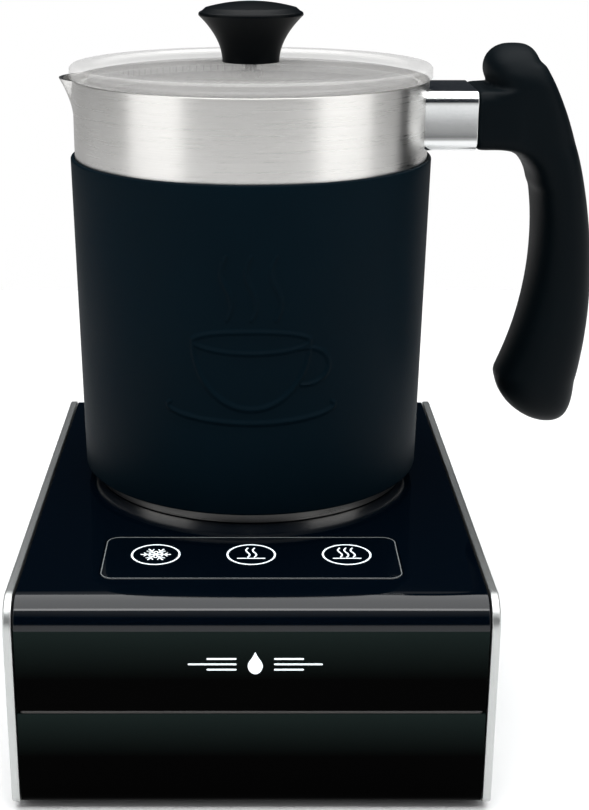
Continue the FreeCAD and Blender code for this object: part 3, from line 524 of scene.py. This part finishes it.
for label, side in (("left_side_panel", -1), ("right_side_panel", 1)):
    outline = rounded([(FRONT, BOTTOM - PROUD, BOTTOM_ROUND + PROUD),
                       (REAR, BOTTOM - PROUD, BOTTOM_ROUND + PROUD),
                       (REAR, PROUD, TOP_ROUND + PROUD), (FRONT, PROUD, TOP_ROUND + PROUD)], 16)
    inner_x, outer_x = sorted((side * PANEL_INNER, side * HALF_WIDTH))
    rims = (0.55, 0.25) if side < 0 else (0.25, 0.55)
    piece(label.replace("panel", "plate"), *slab(outline, "x", inner_x, outer_x, *rims, steps=5),
          "base", silver, "silver_panel", [label])

# The lip in the seam is painted light grey as a painted highlight along the seam line.
piece("seam_lip", *slab(oblong(-62.6, 62.6, FRONT + 0.75, REAR - 0.75, 1.0), "z", SEAM_HIGH - 1.6,
                         SEAM_HIGH + 0.8),
      "base", seam_painted_highlight, "housing_black")

SLIP = 0.15
piece("touch_glass", *slab(glass_line(SLIP, GLASS_CORNER - SLIP), "z", -GLASS_DEPTH, 0.0, 0.0, 0.22),
      "base", panel_black, "panel_glass", ["control_panel"])

PRINT_LOW, PRINT_HIGH = -0.05, 0.03
MARKS, MARK_Y, MARK_RADIUS, MARK_RING, LINE = (-27.0, 0.0, 27.0), -72.0, 7.0, 0.55, 0.24
prints = [annulus(x, MARK_Y, MARK_RADIUS, MARK_RADIUS - MARK_RING, PRINT_LOW, PRINT_HIGH)
          for x in MARKS]


def spot(x, y, angle, radius):
    return (x + radius * math.cos(angle), y + radius * math.sin(angle))


for arm in range(6):
    angle = FULL * arm / 6
    x = MARKS[0]
    prints.append(ribbon([spot(x, MARK_Y, angle, 0.0), spot(x, MARK_Y, angle, 4.1)], LINE,
                         PRINT_LOW, PRINT_HIGH))
    for fork in (-1, 1):
        for root, reach in ((1.3, 1.1), (2.5, 1.3)):
            start = spot(x, MARK_Y, angle, root)
            prints.append(ribbon([start, spot(*start, angle + fork * math.radians(55), reach)],
                                 0.2, PRINT_LOW, PRINT_HIGH))


def wisp(x, y, length, sway):
    return [(x + sway * math.sin(FULL * t / 16), y + length * t / 16) for t in range(17)]


for centre, offsets in ((MARKS[1], (-0.95, 0.95)), (MARKS[2], (-1.8, 0.0, 1.8))):
    prints.append(ribbon([(centre - 3.8, MARK_Y - 2.6), (centre + 3.8, MARK_Y - 2.6)], LINE,
                         PRINT_LOW, PRINT_HIGH))
    for offset in offsets:
        prints.append(ribbon(wisp(centre + offset, MARK_Y - 1.8, 6.2, 0.5), LINE, PRINT_LOW,
                             PRINT_HIGH))
piece("touch_prints", *merged(*prints), "base", print_white_painted_glow, "mark_print", ["touch_marks"])

frame_line = glass_line(0.6, GLASS_CORNER - 0.5)
piece("touch_frame", *ribbon(frame_line + frame_line[:1], 0.13, PRINT_LOW, PRINT_HIGH, tip=False),
      "base", print_grey, "mark_print")

# A plain line, drop, line ornament on the front, its middle just right of the jug's axis.
ORNAMENT_X, ORNAMENT_LOW, ORNAMENT_HIGH = 1.0, FRONT + 0.24, FRONT + 0.34
half_drop = [(0.75, 2.1), (1.75, 0.5), (2.0, -0.9), (1.3, -2.4)]
drop = smooth_line([(0.0, 3.6), *half_drop, (0.0, -3.0), *((-a, b) for a, b in half_drop[::-1]),
                    (0.0, 3.6)], 5)[:-1]
ornament = [slab([(ORNAMENT_X + a, -17.6 + b) for a, b in drop], "y", ORNAMENT_LOW,
                 ORNAMENT_HIGH)]
for side in (-1, 1):
    for length, level in ((13.0, 0.0), (8.0, -1.6), (8.0, 1.6)):
        start, end = ORNAMENT_X + side * 5.0, ORNAMENT_X + side * (5.0 + length)
        low_x, high_x = min(start, end), max(start, end)
        ornament.append(slab(oblong(low_x, high_x, -17.9 + level, -17.4 + level, 0.24, 4), "y",
                             ORNAMENT_LOW, ORNAMENT_HIGH))
piece("front_ornament", *merged(*ornament), "base", print_white_painted_glow, "mark_print")

# Sensor spring: a wound wire between the base and the sensor.
SPRING_Y, SPRING_LOW, SPRING_HIGH, SPRING_RADIUS, SPRING_WIRE = -20.5, -13.0, -7.0, 3.6, 0.4
SPRING_TURNS, TURN_STEPS, WIRE_STEPS = 5, 40, 12
points = []
wound = SPRING_TURNS * TURN_STEPS
for i in range(wound + 1):
    a = FULL * i / TURN_STEPS
    level = SPRING_LOW + (SPRING_HIGH - SPRING_LOW) * i / wound
    for k in range(WIRE_STEPS):
        b = FULL * k / WIRE_STEPS
        radius = SPRING_RADIUS + SPRING_WIRE * math.cos(b)
        points.append((radius * math.cos(a), SPRING_Y + radius * math.sin(a),
                       level + SPRING_WIRE * math.sin(b)))
piece("sensor_spring_wire", points, ring_faces(wound + 1, WIRE_STEPS), "base", plated,
      "spring_steel", ["sensor_spring"],
      stretch=("sensor", (0.0, SPRING_Y, SPRING_LOW - SPRING_WIRE),
               (0.0, SPRING_Y, SPRING_HIGH + SPRING_WIRE)))

# ---- jug -----------------------------------------------------------------------------------------

JUG_RADIUS, JUG_TOP, LIP_LOW = 53.7, 125.0, 104.0
LIP_INSET, LIP_PROUD, LIP_ROUND, LIP_SPREAD = 3.2, 4.3, 9.0, 5.0


def spout_reach(angle, height):
    """How far the pouring lip stands from the axis in a direction, or 0 where it is not."""
    share = (height - LIP_LOW) / (JUG_TOP - LIP_LOW)
    if share < 0:
        return 0.0
    reach = JUG_RADIUS - LIP_INSET * (1 - share) ** 3 + LIP_PROUD * share ** 3
    radius = LIP_ROUND + LIP_SPREAD * share
    centre = reach - radius
    off = math.atan2(math.sin(angle - math.pi), math.cos(angle - math.pi))
    inside = radius ** 2 - (centre * math.sin(off)) ** 2
    if abs(off) > 1.0 or inside <= 0:
        return 0.0
    return centre * math.cos(off) + math.sqrt(inside)


def soft_max(a, b, blend=0.9):
    """The larger value, rounded off where the two are close."""
    if abs(a - b) >= blend:
        return max(a, b)
    h = (blend - abs(a - b)) / blend
    return max(a, b) + h * h * blend / 4


JUG_WALL = 1.0
jug_outer = [(45.85, 0.05), (49.2, 0.05), (49.65, 0.25), (49.8, 0.75), (49.8, 3.0), (50.3, 3.8),
             (51.9, 4.8), (52.2, 22.0), (52.9, 60.0), (53.5, 95.0), (JUG_RADIUS, 103.0)]
jug_outer += [(JUG_RADIUS, 103.0 + 0.5 * k) for k in range(1, 44)] + [(JUG_RADIUS, 124.85)]
jug_rim = [(53.55, 125.05), (53.2, 125.12), (52.85, 125.05), (52.7, 124.85)]
jug_inner = [(r - JUG_WALL, z) for r, z in jug_outer[:5:-1] if z > 12] + [
    (50.9, 12.0), (50.4, 8.5), (48.6, 6.3), (45.5, 5.5), (30.0, 5.45), (0.0, 5.45)]
under = [(0.0, 4.45), (45.4, 4.45), (45.85, 4.0)]
jug_profile = under + jug_outer + jug_rim + jug_inner
points, faces = lathe(jug_profile, 288, closed=False)
formed = []
for x, y, z in points:
    radius = math.hypot(x, y)
    if z > 100 and radius > 50:
        angle = math.atan2(y, x)
        extra = soft_max(JUG_RADIUS, spout_reach(angle, min(z, JUG_TOP))) - JUG_RADIUS
        scale = (radius + extra) / radius
        x, y = x * scale, y * scale
    formed.append((x, y, z))
piece("jug_body", formed, faces, "jug", jug_steel, "jug_steel", ["jug_shell"])

# Raised picture on the sleeve: a plain cup on a saucer under three even wisps of steam.
PICTURE_MIDDLE, RIM_LEVEL, RIM_WIDE, RIM_DEEP, BOWL_DEEP = 0.0, 57.0, 17.0, 3.2, 20.0
RAISED = 0.62


def stroke(centre, across, up, start, end, width, thin=0.3):
    """Part of an ellipse between two angles in degrees, thinning towards both ends."""
    line = []
    for k in range(25):
        a = math.radians(start + (end - start) * k / 24)
        half = thin + (width - thin) * math.sin(math.pi * k / 24) ** 0.5
        line.append((centre[0] + across * math.cos(a), centre[1] + up * math.sin(a), half))
    return line


def steam(across, low, high, sway=1.5):
    """One wave of steam, thinning towards both ends."""
    line = []
    for k in range(17):
        share = k / 16
        half = 0.25 + 0.5 * math.sin(math.pi * share)
        line.append((across + sway * math.sin(FULL * share), low + (high - low) * share, half))
    return line


RIM = (PICTURE_MIDDLE, RIM_LEVEL)
EAR = (PICTURE_MIDDLE + RIM_WIDE - 1.0, RIM_LEVEL - 7.5)
CUP = [stroke(RIM, RIM_WIDE, RIM_DEEP, 0, 360, 0.7, 0.6),
       stroke(RIM, RIM_WIDE, BOWL_DEEP, 180, 360, 0.9),
       stroke(EAR, 7.0, 5.5, 110, -105, 0.75),
       stroke((PICTURE_MIDDLE, RIM_LEVEL - BOWL_DEEP), 25.0, 4.2, 165, 375, 0.85)]
CUP += [steam(PICTURE_MIDDLE + offset, RIM_LEVEL + 6.5, RIM_LEVEL + 25.0) for offset in (-7, 0, 7)]
SLEEVE_LOW_RADIUS, SLEEVE_TOP_RADIUS, SLEEVE_LOW, SLEEVE_TOP = 53.2, 55.0, 3.8, 101.8
SLEEVE = rounded([(51.6, SLEEVE_LOW, 0), (SLEEVE_LOW_RADIUS, SLEEVE_LOW, 1.4),
                  (SLEEVE_TOP_RADIUS, SLEEVE_TOP, 0.9), (53.85, SLEEVE_TOP, 0)], 5)


def sleeve_radius(height):
    share = (height - SLEEVE_LOW) / (SLEEVE_TOP - SLEEVE_LOW)
    return SLEEVE_LOW_RADIUS + (SLEEVE_TOP_RADIUS - SLEEVE_LOW_RADIUS) * share


strokes = [smooth_line(line, 6) for line in CUP]
nearest = kdtree.KDTree(sum(len(line) for line in strokes))
widths = []
for line in strokes:
    for across, up, half in line:
        nearest.insert((across, up, 0.0), len(widths))
        widths.append(half)
nearest.balance()


def raised(across, up):
    """How far the picture stands out of the sleeve at a place on it."""
    index, distance = nearest.find((across, up, 0.0))[1:]
    reach = 1 - distance / (widths[index] + 0.35)
    return RAISED * reach * reach * (3 - 2 * reach) if reach > 0 else 0.0


PICTURE_LOW, PICTURE_HIGH, PICTURE_SIDE, GRID, MIDDLE_RADIUS = 27.5, 88.5, 38.0, 0.36, 54.0
levels = [PICTURE_LOW + k * GRID for k in range(int((PICTURE_HIGH - PICTURE_LOW) / GRID) + 1)]
levels += [90.0, 93.0, 96.0, 98.0]
sleeve_foot = [(r, z) for r, z in SLEEVE if z < PICTURE_LOW]
sleeve_profile = (sleeve_foot + [(sleeve_radius(z), z) for z in levels]
                  + [(r, z) for r, z in SLEEVE if z > levels[-1]])
sleeve_profile += [(53.8, 100.0), (53.3, 60.0), (52.6, 22.0), (52.0, 5.0)]
half_angle = PICTURE_SIDE / MIDDLE_RADIUS
fine_count = int(2 * half_angle / (GRID / MIDDLE_RADIUS))
coarse_count = 150
turns = [-math.pi / 2 - half_angle + 2 * half_angle * k / fine_count for k in range(fine_count)]
turns += [-math.pi / 2 + half_angle + (FULL - 2 * half_angle) * k / coarse_count
          for k in range(coarse_count)]
points = []
for row, (radius, height) in enumerate(sleeve_profile):
    shown = (len(sleeve_foot) <= row < len(sleeve_foot) + len(levels)
             and PICTURE_LOW < height < PICTURE_HIGH)
    for angle in turns:
        lift = 0.0
        across = (angle + math.pi / 2) * radius
        if shown and abs(across) < PICTURE_SIDE - 0.5:
            lift = raised(across, height)
        points.append(((radius + lift) * math.cos(angle), (radius + lift) * math.sin(angle),
                       height))
piece("jug_sleeve_skin", points, ring_faces(len(sleeve_profile), len(turns), closed=True), "jug",
      sleeve_dark, "sleeve_dark", ["jug_sleeve"], 60.0)

# ---- lid and knob --------------------------------------------------------------------------------

lid_outline = [(1.75, 129.4, 0), (11.6, 129.35, 1.0), (28.0, 129.0, 8.0), (46.6, 128.15, 0.8),
               (47.9, 129.0, 0.5), (53.9, 129.0, 0.8), (54.6, 128.2, 0.6), (54.6, 125.3, 0.5),
               (51.4, 125.3, 0.3), (51.4, 123.6, 0.1), (50.5, 123.6, 0.1), (50.5, 121.4, 0.1),
               (51.4, 121.4, 0.1), (51.4, 119.0, 0.4), (49.7, 119.0, 0.4), (49.2, 126.1, 1.2),
               (1.75, 126.9, 0)]
piece("lid_shell", *lathe(rounded(lid_outline, 5), 256), "lid", lid_clear, "lid_clear",
      ["lid_disc"])
KNOB_LOW, KNOB_RIM, KNOB_HIGH, KNOB_NECK, KNOB_FLARE, DOME = 129.48, 143.1, 147.15, 8.6, 7.1, 50.0
flare = [(KNOB_NECK + KNOB_FLARE * (k / 20) ** 2, KNOB_LOW + (KNOB_RIM - KNOB_LOW) * k / 20)
         for k in range(21)]
rim_round = [(KNOB_NECK + KNOB_FLARE - 0.8 * (1 - math.cos(a)), KNOB_RIM + 0.2 + 0.9 * math.sin(a))
             for a in (math.radians(10 * k) for k in range(10))]
dome = [(radius, KNOB_HIGH - radius ** 2 / (2 * DOME))
        for radius in (13.6, 13.3, 12.6, 11.0, 9.0, 7.0, 5.0, 3.0, 1.0, 0.0)]
knob_profile = [(0.0, KNOB_LOW), (8.2, KNOB_LOW)] + flare + rim_round + dome
piece("knob_turned", *lathe(knob_profile, 160, closed=False), "lid", knob_black, "knob_black",
      ["lid_knob"])

# ---- handle --------------------------------------------------------------------------------------

HANDLE_LOW, HANDLE_HIGH, HANDLE_HALF, HANDLE_ROUND, FERRULE_END = 104.9, 122.5, 16.5, 3.4, 67.0
FACE_LOW, FACE_HIGH, HOLLOW = HANDLE_LOW + HANDLE_ROUND, HANDLE_HIGH - HANDLE_ROUND, 0.9
ferrule_line = oblong(-HANDLE_HALF, HANDLE_HALF, HANDLE_LOW, HANDLE_HIGH, HANDLE_ROUND, 12)
for k in range(1, 12):
    share = k / 12
    ferrule_line.append((-HANDLE_HALF + HOLLOW * share * (1 - share),
                         FACE_HIGH + (FACE_LOW - FACE_HIGH) * share))
points, faces = slab(ferrule_line, "x", 50.0, FERRULE_END - 0.1, 0.0, 0.3)
for k in range(len(ferrule_line)):
    x, y, z = points[k]
    points[k] = (math.sqrt((JUG_RADIUS + 0.02) ** 2 - y * y), y, z)
piece("ferrule_sleeve", points, faces, "jug", chrome, "ferrule_polished", ["handle_ferrule"])

# Grip: its back and palm sides are arcs, each fullest at its own height, with a round tip below.
NECK_LOW, NECK_HIGH, HEEL = HANDLE_LOW - 0.1, HANDLE_HIGH - 0.1, 68.2
TIP_LOW, TIP_HIGH, TIP_MIDDLE, TIP_LEAN, TIP_REACH = 15.6, 32.0, 91.0, 5.0, 12.7
THROAT_ROUND, THROAT_CENTRE = 12.5, 73.0
PALM, BACK = (87.5, 105.0, 76.0), (106.3, 150.0, 57.0)
THUMB_TOP, THUMB_ROUND, THUMB_CENTRE, NAPE_ROUND, NAPE_CENTRE = 134.9, 7.0, 77.1, 5.2, 80.8
CROWN_LOW, CROWN_SPAN = 123.5, 11.6
GRIP_HALF, GRIP_WIDENS, SQUARE, SQUARER, SQUARE_FROM, SQUARE_OVER = 12.5, 4.1, 2.35, 2.3, 80.0, 35.0
THUMB_SQUARE, NAPE_SQUARE, NAPE_SOFTENS = 2.3, 4.4, 1.8


def arc_reach(height, reach, radius, fullest):
    """Reach of an arc at a height, given its greatest reach and the height where it has it."""
    return reach - radius + math.sqrt(radius ** 2 - (height - fullest) ** 2)


def half_chord(radius, above):
    """Half width of a circle at a distance above its centre."""
    return math.sqrt(max(radius ** 2 - above ** 2, 0.0))


def grip_section(height):
    """Inner reach, outer reach, half depth and both sides' squareness of the grip at a height."""
    share = min((height - TIP_LOW) / (NECK_HIGH - TIP_LOW), 1.0)
    half = GRIP_HALF + GRIP_WIDENS * share
    square = SQUARE + SQUARER * min(max((height - SQUARE_FROM) / SQUARE_OVER, 0.0), 1.0) ** 2
    if height < TIP_HIGH:
        left = (TIP_HIGH - height) / (TIP_HIGH - TIP_LOW)
        middle, full = TIP_MIDDLE + TIP_LEAN * left ** 2, math.sqrt(1 - left ** 2)
        return middle - TIP_REACH * full, middle + TIP_REACH * full, half * full, square, square
    inner = arc_reach(height, *PALM)
    above = height - (NECK_LOW - THROAT_ROUND)
    if above > 0:
        throat = half_chord(THROAT_ROUND, above)
        inner = min(inner, THROAT_CENTRE + throat) if height < NECK_LOW else HEEL
    outer, back_square = arc_reach(height, *BACK), square
    if height > NECK_HIGH:
        square = THUMB_SQUARE
        crown = max(height - CROWN_LOW, 0.0) / CROWN_SPAN
        back_square = NAPE_SQUARE - NAPE_SOFTENS * crown
        half *= math.sqrt(1 - crown ** 2)
        inner = THUMB_CENTRE - half_chord(THUMB_ROUND, height - (THUMB_TOP - THUMB_ROUND))
        above = height - (THUMB_TOP - NAPE_ROUND)
        if above > 0:
            outer = min(outer, NAPE_CENTRE + half_chord(NAPE_ROUND, above))
    return inner, outer, half, square, back_square


tip_levels = [TIP_LOW + (TIP_HIGH - TIP_LOW) * (1 - math.cos(math.pi / 2 * k / 14))
              for k in range(1, 14)]
grip_levels = tip_levels + [TIP_HIGH + (NECK_HIGH - TIP_HIGH) * k / 90 for k in range(91)]
grip_levels += [NECK_HIGH + 0.1 + (THUMB_TOP - NECK_HIGH - 0.15) * math.sin(math.pi / 2 * k / 24)
           for k in range(25)]
AROUND = 72
points = []
for height in grip_levels:
    inner, outer, half, palm_square, back_square = grip_section(height)
    middle, reach = (inner + outer) / 2, (outer - inner) / 2
    for k in range(AROUND):
        a = FULL * k / AROUND
        c, s = math.cos(a), math.sin(a)
        square = back_square if c > 0 else palm_square
        x = math.copysign(abs(c) ** (2 / square), c)
        y = math.copysign(abs(s) ** (2 / square), s)
        points.append((middle + reach * x, half * y, height))
bow = (points, ring_faces(len(grip_levels), AROUND))
neck = slab(oblong(-HANDLE_HALF - 0.1, HANDLE_HALF + 0.1, NECK_LOW, NECK_HIGH, HANDLE_ROUND), "x",
            FERRULE_END, 80.0)
grip = piece("grip_soft_body", *merged(bow, neck), "jug", grip_soft, "grip_soft", ["handle_grip"])
remesh = grip.modifiers.new("even", "REMESH")
remesh.mode, remesh.voxel_size, remesh.use_smooth_shade = "VOXEL", 0.7 * MM, True
relax = grip.modifiers.new("relax", "SMOOTH")
relax.factor, relax.iterations = 0.5, 18
apply_modifiers(grip)
shade(grip, 60.0)

# ---- carried-over nodes --------------------------------------------------------------------------

CARRIED = {
    "housing_black": housing_black, "silver_panel": silver, "panel_glass": panel_black,
    "mark_print": print_white_painted_glow, "spring_steel": plated, "circuit_board": board_green,
    "bare_aluminium": aluminium, "white_plastic": plastic_white, "coil_copper": copper,
    "ferrite": ferrite, "plated_steel": plated, "magnet_nickel": nickel,
    "black_plastic": plastic_black, "can_sleeve": can_blue, "film_yellow": film_yellow,
    "terminal_green": terminal_green, "rubber_black": rubber_black, "jug_steel": jug_steel,
    "disc_steel": foot_steel, "sleeve_dark": sleeve_dark, "lid_clear": lid_clear,
    "seal_silicone": silicone, "knob_black": knob_black, "ferrule_polished": chrome,
    "grip_soft": grip_soft,
}
slots = {entry["node"]: entry["material_slot"] for entry in frame["record"]["subparts"]}
for node, shown in frame["nodes"].items():
    shown.data.materials.clear()
    # The lower housing takes the painted reflection gradient too.
    shown.data.materials.append(housing_painted_reflection if node == "lower_housing"
                                else CARRIED[slots[node]])
    shade(shown, 30.0)

# ---- stage, light and camera ---------------------------------------------------------------------

scene = bpy.context.scene
scene.view_settings.view_transform = "Standard"

stage_look = Look("floor_pale", Base_Color=(0.74, 0.74, 0.74), Roughness=0.85,
                  Specular_IOR_Level=0.1)
stage_look.bump(stage_look.noise(80.0), 0.0001, 0.1)
floor_mesh = bpy.data.meshes.new("floor")
FLOOR_SIDE, FLOOR_NEAR, FLOOR_FAR = 0.9, -1.1, 0.5
floor_mesh.from_pydata([(-FLOOR_SIDE, FLOOR_NEAR, 0), (FLOOR_SIDE, FLOOR_NEAR, 0),
                        (FLOOR_SIDE, FLOOR_FAR, 0), (-FLOOR_SIDE, FLOOR_FAR, 0)], [],
                       [[0, 1, 2, 3]])
floor_mesh.materials.append(stage_look.material)
floor = bpy.data.objects.new("floor", floor_mesh)
scene.collection.objects.link(floor)

world = bpy.data.worlds.new("studio")
scene.world = world
world.use_nodes = True
tree = world.node_tree
background = tree.nodes["Background"]
path = tree.nodes.new("ShaderNodeLightPath")
direction = tree.nodes.new("ShaderNodeTexCoord")
split = tree.nodes.new("ShaderNodeSeparateXYZ")
tree.links.new(direction.outputs["Generated"], split.inputs[0])
upward = tree.nodes.new("ShaderNodeMath")
upward.operation = "MULTIPLY_ADD"
upward.inputs[1].default_value = upward.inputs[2].default_value = 0.5
tree.links.new(split.outputs[2], upward.inputs[0])
sky = tree.nodes.new("ShaderNodeValToRGB")
# Grey below the horizon, dark just above it, softly lit overhead, and plain white to the camera.
SKY = ((0.485, (0.5, 0.5, 0.5)), (0.505, (0.006, 0.01, 0.016)), (0.725, (0.01, 0.014, 0.02)),
       (0.975, (0.8, 0.82, 0.84)))
while len(sky.color_ramp.elements) < len(SKY):
    sky.color_ramp.elements.new(0.5)
for element, (position, colour) in zip(sky.color_ramp.elements, SKY):
    element.position, element.color = position, (*colour, 1.0)
tree.links.new(upward.outputs[0], sky.inputs[0])
mix = tree.nodes.new("ShaderNodeMix")
mix.data_type = "RGBA"
tree.links.new(path.outputs["Is Camera Ray"], mix.inputs["Factor"])
tree.links.new(sky.outputs[0], mix.inputs[6])
mix.inputs[7].default_value = (1.0, 1.0, 1.0, 1.0)
tree.links.new(mix.outputs[2], background.inputs[0])


def softbox(name, at, aim, wide, tall, power):
    light = bpy.data.lights.new(name, "AREA")
    light.shape, light.size, light.size_y, light.energy = "RECTANGLE", wide, tall, power
    made = bpy.data.objects.new(name, light)
    scene.collection.objects.link(made)
    made.location = Vector(at)
    made.rotation_euler = (Vector(aim) - Vector(at)).to_track_quat("-Z", "Y").to_euler()


softbox("overhead", (0.0, -0.03, 0.9), (0.0, -0.03, 0.0), 1.4, 1.26, 17.0)
softbox("front_bar", (0.0, -0.58, 0.88), (0.0, -0.58, 0.0), 1.4, 0.16, 3.5)
softbox("left_strip", (-0.97, -0.50, 0.42), (0.0, 0.0, 0.12), 0.8, 0.8, 3.0)
softbox("right_strip", (0.93, -0.52, 0.42), (0.0, 0.0, 0.12), 0.8, 0.8, 3.0)

CAMERA_AT, LOOKING_DOWN = (-1.5, -460.8, 175.4), 18.59
camera_data = bpy.data.cameras.new("camera")
camera_data.lens, camera_data.sensor_width = 66.67, 36.0
camera_data.shift_x = 0.060
camera_data.clip_start, camera_data.clip_end = 0.01, 50.0
camera = bpy.data.objects.new("camera", camera_data)
scene.collection.objects.link(camera)
camera.location = place(*CAMERA_AT)
camera.rotation_euler = (math.radians(90 - LOOKING_DOWN), 0.0, 0.0)
scene.camera = camera
